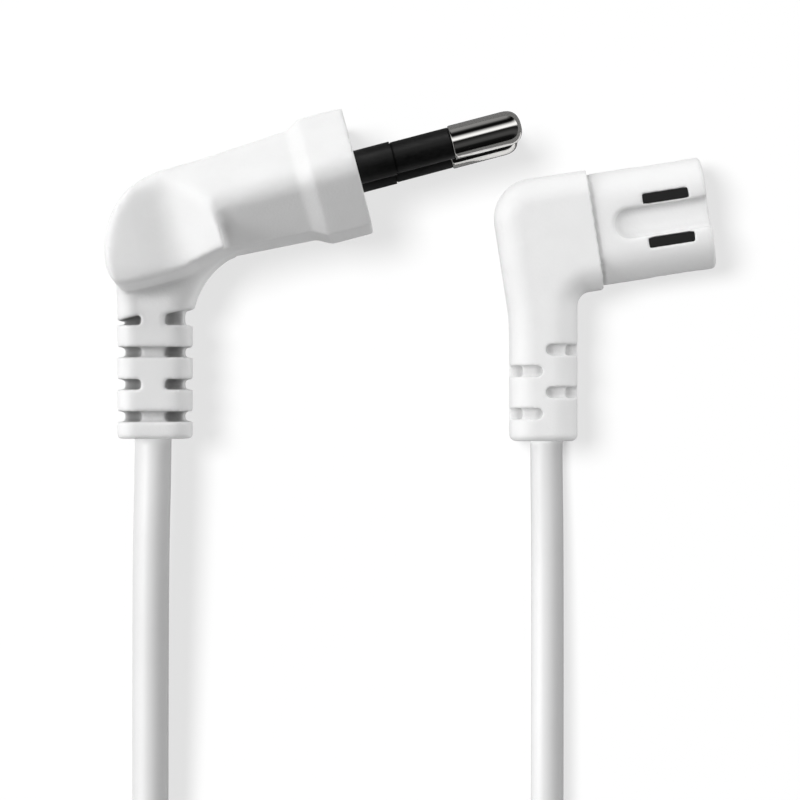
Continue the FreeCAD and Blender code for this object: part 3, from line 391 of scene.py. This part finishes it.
plug_skin = moulded_copy("plug_housing", "plug_skin", PLUG_GRID)
ahead, across, above = places_from(plug_skin, ROW_ORIGIN, 0.0)
beyond_relief = places_from(plug_skin, ROW_ORIGIN, -LEAD_LEAN)[1] - GRIP_FOOT
relaxed(plug_skin, NECK_PASSES, beyond_relief > 0.0)
relaxed(plug_skin, GRIP_PASSES, (beyond_relief > 0.0) & (ahead < GRIP_FRONT))
off_crease = off_stretch(ahead, across, CREASE)
for reach in CREASE_REACHES:
    relaxed(plug_skin, CREASE_PASSES, (off_crease < reach) & (np.abs(above) > CREASE_SIDE))
from_front = np.clip((GROWTH_FRONT - ahead) / FRONT_EASE, 0.0, 1.0)
from_foot = np.clip(beyond_relief / FOOT_EASE, 0.0, 1.0)
pushed_out(plug_skin, GROWTH * from_front * from_foot)
skin_done(plug_skin, "plug_housing", white_moulding("plug_pvc", **PLUG_PAINTED_SHADE))

# Contacts and their frame. Two tinned spring tubes sit in a hard black frame, whose ribs come up
# flush in the windows of the connector's nose.
TIN_GRAIN, TIN_MARKS = 0.0003, (6.0, 1.0, 1.0)
tin, tin_shader = finish("tinned_spring", (0.72, 0.7, 0.66), 0.3, metallic=1.0)
tin_noise = cloud(tin, TIN_GRAIN, stretch=TIN_MARKS)
vary(tin, tin_noise, tin_shader.inputs["Roughness"], 0.24, 0.4)
dress(tin, "contact_live", "contact_neutral")
dress(black, "contact_frame")

# Connector housing. The same white PVC is moulded round the contact frame, the crimps and the
# cord's other end: nose, body and a leg with notches on alternate sides. A fine line is sunk
# where the nose steps out of the body.
CONNECTOR_AT, CONNECTOR_TURN = (0.02595, -0.01328, -0.01315), math.radians(-6)
CONNECTOR_GRID, BODY_PASSES = 0.00017, 4
STEP_ZONE, STEP_PLACE, STEP_WIDTH, STEP_DEPTH = 0.0012, 0.00002, 0.00014, 0.0004
NOTCH_ZONE = -0.0135
CHANNEL_START, CHANNEL_SIDE, CHANNEL_FLOOR, CHANNEL_PASSES = 0.0012, 0.0025, 0.0022, 20
# Painted shade in the connector's hollows: how far round a point is looked at, and how dark the colour
# goes.
CONNECTOR_PAINTED_SHADE = {"reach": 0.001, "darkest": 0.25}
connector_skin = moulded_copy("connector_housing", "connector_skin", CONNECTOR_GRID)
ahead, across, above = places_from(connector_skin, CONNECTOR_AT, CONNECTOR_TURN)
relaxed(connector_skin, BODY_PASSES, (np.abs(ahead) > STEP_ZONE) & (across > NOTCH_ZONE))
in_channel = (ahead > CHANNEL_START) & (np.abs(across) < CHANNEL_SIDE) & (np.abs(above) > CHANNEL_FLOOR)
relaxed(connector_skin, CHANNEL_PASSES, in_channel)
ahead = places_from(connector_skin, CONNECTOR_AT, CONNECTOR_TURN)[0]
pushed_out(connector_skin, -STEP_DEPTH * np.exp(-((ahead - STEP_PLACE) / STEP_WIDTH) ** 2))
skin_done(connector_skin, "connector_housing",
          white_moulding("connector_pvc", **CONNECTOR_PAINTED_SHADE))

# Cord. One flat two-core lead of white PVC runs from the plug's strain relief to the connector's
# leg. Most of its two metres is wound into a coil of two layers below the two ends.
FLOOR = -0.01765
CORD_WIDTH, CORD_THICKNESS = 0.006, 0.0038
PLUG_ROUTE = [(-0.02402, -0.0308, 0.01765), (-0.02404, -0.0352, 0.01765), (-0.0243, -0.044, 0.0174),
              (-0.02455, -0.063, 0.0145), (-0.0248, -0.0868, 0.0105)]
CONNECTOR_ROUTE = [(0.0225, -0.0868, 0.0092), (0.02255, -0.063, 0.0092), (0.02265, -0.043, 0.0065),
                   (0.0226, -0.0352, 0.0046), (0.0226, -0.0312, 0.0045)]
COIL_MIDDLE = (-0.00077, -0.1315)
COIL_RADIUS, COIL_PITCH = 0.0422, 0.0042
COIL_LOW, COIL_HIGH, CLIMB_TURNS = 0.0036, 0.0096, 0.7
COIL_START, COIL_TURNS = math.radians(150), 26 / 3
POINTS_PER_TURN = 20
LINE_STEPS, LINE_ORDER = 7, 3
TWIST = math.radians(17)
TWIST_HELD, TWIST_GONE = 0.06, 0.095
SECTION_SIDES = 28
DRAWN_LINES, SHEATH_CLOUD = (0.02, 30.0, 1.0), 0.006


def leaned(across, along):
    """A place or a direction of the lead's own layout, turned by the cord's lean."""
    c, s = math.cos(LEAD_LEAN), math.sin(LEAD_LEAN)
    return across * c + along * s, along * c - across * s


def in_row_frame(lead):
    """Points of the lead's own layout, across, along and above the floor, turned by the cord's lean."""
    across, along, height = np.asarray(lead, float).T
    return np.stack([*leaned(across, along), height + FLOOR], axis=1)


def eased(share):
    """A share from 0 to 1 that starts and stops gently: three times its square less twice its cube."""
    return share ** 2 * (3 - 2 * share)


def coil_points():
    """The coil's turns: an even spiral inwards in the lower layer, a climb on the innermost turn
    and an even spiral outwards in the upper layer."""
    steps = round(COIL_TURNS * POINTS_PER_TURN)
    turn = np.linspace(0.0, COIL_TURNS, steps + 1)
    middle = COIL_TURNS / 2
    radius = COIL_RADIUS - COIL_PITCH * (middle - np.abs(turn - middle))
    climb = np.clip((turn - middle) / CLIMB_TURNS + 0.5, 0.0, 1.0)
    height = COIL_LOW + (COIL_HIGH - COIL_LOW) * eased(climb)
    angle = COIL_START + 2 * np.pi * turn
    return np.stack([COIL_MIDDLE[0] + radius * np.cos(angle), COIL_MIDDLE[1] + radius * np.sin(angle),
                     height], axis=1)


def smooth_line(controls):
    """Points along one smooth NURBS line with the given control points."""
    curve = bpy.data.curves.new("cord_line", "CURVE")
    curve.dimensions = "3D"
    curve.resolution_u = LINE_STEPS
    spline = curve.splines.new("NURBS")
    spline.points.add(len(controls) - 1)
    spline.points.foreach_set("co", np.c_[controls, np.ones(len(controls))].ravel())
    spline.order_u = LINE_ORDER
    spline.use_endpoint_u = True
    holder = bpy.data.objects.new("cord_line", curve)
    drawn = bpy.data.meshes.new_from_object(holder)
    points = np.zeros(len(drawn.vertices) * 3)
    drawn.vertices.foreach_get("co", points)
    bpy.data.objects.remove(holder)
    bpy.data.curves.remove(curve)
    bpy.data.meshes.remove(drawn)
    return points.reshape(-1, 3)


def flat_cord(name, line):
    """The flat cord's section, two half circles joined by straight sides, carried along a line with
    its width upright and leaning by the twist, which eases to nothing along the first stretch."""
    ahead = np.gradient(line, axis=0)
    ahead /= np.linalg.norm(ahead, axis=1, keepdims=True)
    side = np.cross(ahead, (0.0, 0.0, 1.0))
    side /= np.linalg.norm(side, axis=1, keepdims=True)
    up = np.cross(side, ahead)
    run = np.r_[0.0, np.cumsum(np.linalg.norm(np.diff(line, axis=0), axis=1))]
    held = np.clip((TWIST_GONE - run) / (TWIST_GONE - TWIST_HELD), 0.0, 1.0)
    lean = (TWIST * eased(held))[:, None]
    across = side * np.cos(lean) + up * np.sin(lean)
    wide = up * np.cos(lean) - side * np.sin(lean)
    angle = (np.arange(SECTION_SIDES) + 0.5) * 2 * np.pi / SECTION_SIDES
    out = CORD_THICKNESS / 2 * np.cos(angle)
    over = (CORD_THICKNESS / 2 * np.sin(angle)
            + (CORD_WIDTH - CORD_THICKNESS) / 2 * np.sign(np.sin(angle)))
    points = line[:, None] + out[:, None] * across[:, None] + over[:, None] * wide[:, None]
    return grid_piece(name, points)


sheath, sheath_shader = finish("cord_sheath", grey(0.86), 0.42)
drawn_noise = cloud(sheath, 1.0, stretch=DRAWN_LINES, read="UV")
vary(sheath, drawn_noise, sheath_shader.inputs["Roughness"], 0.38, 0.5)
mottle(sheath, sheath_shader, cloud(sheath, SHEATH_CLOUD), grey(0.85), grey(0.87))

cord_line = smooth_line(in_row_frame(np.vstack([PLUG_ROUTE, coil_points(), CONNECTOR_ROUTE])))
cord = flat_cord("flat_cord", cord_line)
cord.data.materials.append(sheath)
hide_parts("cord_plug_run", "cord_coil", "cord_connector_run")
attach(cord, "root")

# Coil tie. A strap of soft white plastic goes once round all the turns and holds the coil
# together.
STRAP_GRAIN, STRAP_DEPTH = 0.0004, 0.00001
strap, strap_shader = finish("soft_strap", grey(0.86), 0.5)
strap_noise = cloud(strap, STRAP_GRAIN, detail=3.0)
vary(strap, strap_noise, strap_shader.inputs["Roughness"], 0.42, 0.6)
dimple(strap, strap_shader, strap_noise, STRAP_DEPTH)
dress(strap, "coil_tie")

# Floor. A large pale sheet that the lead lies on. It is white to the camera, keeps the drop
# shadows, and gives the light of a white table back to what lies on it.
FLOOR_SIZE, FLOOR_GREY = 3.0, 0.12
SKY, TABLE_LIGHT, MIRROR_LIGHT = 0.35, 0.55, 0.2
DROP_LIGHT, DROP_FROM = 0.25, (-0.94, 0.342)
DROP_SLANTS = {"plug": 0.17, "connector": 0.52}
DROP_SPREADS = {"plug": math.radians(10), "connector": math.radians(24)}
corner = FLOOR_SIZE / 2
floor_mesh = bpy.data.meshes.new("floor")
floor_mesh.from_pydata([(-corner, -corner, FLOOR), (corner, -corner, FLOOR),
                        (corner, corner, FLOOR), (-corner, corner, FLOOR)], [], [(0, 1, 2, 3)])
floor = bpy.data.objects.new("floor", floor_mesh)
bpy.context.scene.collection.objects.link(floor)


def lit_floor():
    """A dull sheet that the drop lamps light, with a glow that fills it up to white, and less of
    that glow for what lies on it and for mirrors."""
    material = bpy.data.materials.new("white_table")
    material.use_nodes = True
    tree = material.node_tree
    tree.nodes.clear()
    out = tree.nodes.new("ShaderNodeOutputMaterial")
    both = tree.nodes.new("ShaderNodeAddShader")
    dull = tree.nodes.new("ShaderNodeBsdfDiffuse")
    dull.inputs["Color"].default_value = (*grey(FLOOR_GREY), 1.0)
    path = tree.nodes.new("ShaderNodeLightPath")
    glow = tree.nodes.new("ShaderNodeEmission")
    for_dull, for_mirrors = tree.nodes.new("ShaderNodeMath"), tree.nodes.new("ShaderNodeMath")
    for less, ray, light in ((for_dull, "Is Diffuse Ray", TABLE_LIGHT),
                             (for_mirrors, "Is Glossy Ray", MIRROR_LIGHT)):
        less.operation = "MULTIPLY_ADD"
        less.inputs[1].default_value = light - 1.0
        tree.links.new(path.outputs[ray], less.inputs[0])
    for_dull.inputs[2].default_value = 1.0 - DROP_LIGHT * len(DROP_SLANTS) - FLOOR_GREY * SKY
    tree.links.new(for_dull.outputs["Value"], for_mirrors.inputs[2])
    tree.links.new(for_mirrors.outputs["Value"], glow.inputs["Strength"])
    tree.links.new(dull.outputs["BSDF"], both.inputs[0])
    tree.links.new(glow.outputs["Emission"], both.inputs[1])
    tree.links.new(both.outputs["Shader"], out.inputs["Surface"])
    return material


floor.data.materials.append(lit_floor())

# Lamps. A soft key from the left casts shadows within the plug and within the connector. Light from
# above in the picture wraps round both, and weak fills come from the right and over the connector.
# A steep lamp for each group lights the floor alone and drops that group's shadow.
LEFT_FROM, PLUG_LEFT, CONNECTOR_LEFT = (-0.55, 0.05, 0.27), 0.535, 0.44
TOP_FROM, TOP_LIGHT = (-0.07, 0.29, 0.22), 0.315
SIDE_FROM, SIDE_LIGHT = (0.22, 0.08, 0.02), 0.24
OVER_FROM, OVER_LIGHT = (0.2, 0.1, 1.0), 0.125
SOFT_SPREAD = math.radians(36)


def sun(name, towards, light, spread):
    """A distant lamp in that direction of the lead's layout, which gives a white face that looks at
    it the light asked for."""
    lamp = bpy.data.lights.new(name, "SUN")
    lamp.energy = light * math.pi
    lamp.angle = spread
    source = bpy.data.objects.new(name, lamp)
    x, y = leaned(*towards[:2])
    pitch = math.atan2(math.hypot(x, y), towards[2])
    source.rotation_euler = (pitch, 0.0, math.atan2(y, x) + math.pi / 2)
    bpy.context.scene.collection.objects.link(source)
    return source


def group(name, members):
    """A collection for a lamp to light or be shaded by."""
    made = bpy.data.collections.new(name)
    for member in members:
        made.objects.link(member)
    return made


black_pieces = [*sleeves.values(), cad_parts["pin_bridge"]]
plug_pieces = group("plug_pieces", [plug_skin, cord, *black_pieces])
connector_pieces = group("connector_pieces", [connector_skin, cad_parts["contact_frame"]])
skins = group("skins", [plug_skin, connector_skin])
dull_pieces = group("dull_pieces", [plug_skin, connector_skin, cord, *black_pieces,
                                    *(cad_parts[n] for n in ("contact_frame", "coil_tie"))])
for name, towards, light, lit, shades in (
        ("left_on_plug", LEFT_FROM, PLUG_LEFT, plug_pieces, plug_pieces),
        ("left_on_connector", LEFT_FROM, CONNECTOR_LEFT, connector_pieces, connector_pieces),
        ("top_wrap", TOP_FROM, TOP_LIGHT, dull_pieces, None),
        ("side_fill", SIDE_FROM, SIDE_LIGHT, skins, None),
        ("over_connector", OVER_FROM, OVER_LIGHT, connector_pieces, None)):
    lamp = sun(name, towards, light, SOFT_SPREAD)
    lamp.light_linking.receiver_collection = lit
    lamp.data.use_shadow = shades is not None
    lamp.light_linking.blocker_collection = shades
for name, members in (("plug", [plug_skin, cord, *pins.values(), *black_pieces]),
                      ("connector", [connector_skin])):
    slant = DROP_SLANTS[name]
    drop = sun("drop_" + name, (DROP_FROM[0] * slant, DROP_FROM[1] * slant, 1.0),
               DROP_LIGHT / FLOOR_GREY * math.hypot(1.0, slant), DROP_SPREADS[name])
    drop.light_linking.receiver_collection = group("floor_for_" + name, [floor])
    drop.light_linking.blocker_collection = group("shade_of_" + name, members)

# Sky. An even pale dome lights the lead and is white behind it. Mirrors see the studio's boxes and
# flags in it, as bands that run along the pins.
BANDS = ((0.0, 0.004), (0.05, 0.005), (0.1, 0.01), (0.156, 0.06), (0.25, 0.075), (0.37, 0.03),
         (0.45, 0.012), (0.49, 0.03), (0.53, 0.6), (0.56, 1.3), (0.65, 1.2), (0.72, 0.6),
         (0.775, 0.08), (0.81, 0.004), (0.9, 0.004), (0.945, 0.1), (0.97, 0.28), (1.0, 0.3))


def studio_sky():
    """A dome whose light depends on what looks: white to the camera, bands to mirrors, even to the rest."""
    world = bpy.data.worlds.new("studio")
    world.use_nodes = True
    tree = world.node_tree
    tree.nodes.clear()
    path = tree.nodes.new("ShaderNodeLightPath")
    place = tree.nodes.new("ShaderNodeTexCoord")
    parts = tree.nodes.new("ShaderNodeSeparateXYZ")
    level = tree.nodes.new("ShaderNodeMapRange")
    level.inputs["From Min"].default_value = -1.0
    bands = tree.nodes.new("ShaderNodeValToRGB")
    tones = bands.color_ramp.elements
    for position, _ in BANDS[1:-1]:
        tones.new(position)
    for element, (position, tone) in zip(tones, BANDS):
        element.position = position
        element.color = (*grey(tone), 1.0)
    mirror, seen = tree.nodes.new("ShaderNodeMix"), tree.nodes.new("ShaderNodeMix")
    mirror.data_type = seen.data_type = "RGBA"
    either = tree.nodes.new("ShaderNodeMath")
    either.operation = "MAXIMUM"
    light = tree.nodes.new("ShaderNodeBackground")
    out = tree.nodes.new("ShaderNodeOutputWorld")
    even, banded = colour_sockets(mirror.inputs)
    even.default_value = (*grey(SKY), 1.0)
    unseen, shown = colour_sockets(seen.inputs)
    shown.default_value = (*grey(1.0), 1.0)
    tree.links.new(place.outputs["Generated"], parts.inputs["Vector"])
    tree.links.new(parts.outputs["Y"], level.inputs["Value"])
    tree.links.new(level.outputs["Result"], bands.inputs["Fac"])
    tree.links.new(path.outputs["Is Glossy Ray"], mirror.inputs["Factor"])
    tree.links.new(bands.outputs["Color"], banded)
    tree.links.new(path.outputs["Is Camera Ray"], either.inputs[0])
    tree.links.new(path.outputs["Is Transmission Ray"], either.inputs[1])
    tree.links.new(either.outputs["Value"], seen.inputs["Factor"])
    tree.links.new(colour_sockets(mirror.outputs)[0], unseen)
    tree.links.new(colour_sockets(seen.outputs)[0], light.inputs["Color"])
    tree.links.new(light.outputs["Background"], out.inputs["Surface"])
    return world


scene = bpy.context.scene
scene.world = studio_sky()
scene.view_settings.view_transform = "Standard"

# Camera. It looks straight down on the lead from about half a metre, turned so that both cord
# runs stand upright in the picture.
CAMERA_AT, CLIP_START = (-0.00205, -0.02709, 0.46235), 0.01
FOCAL_PIXELS, PICTURE_PIXELS = 3941, 800
camera_data = bpy.data.cameras.new("camera")
camera_data.lens = camera_data.sensor_width * FOCAL_PIXELS / PICTURE_PIXELS
camera_data.clip_start = CLIP_START
camera = bpy.data.objects.new("camera", camera_data)
camera.location = CAMERA_AT
camera.rotation_euler = (0.0, 0.0, -LEAD_LEAN)
scene.collection.objects.link(camera)
scene.camera = camera
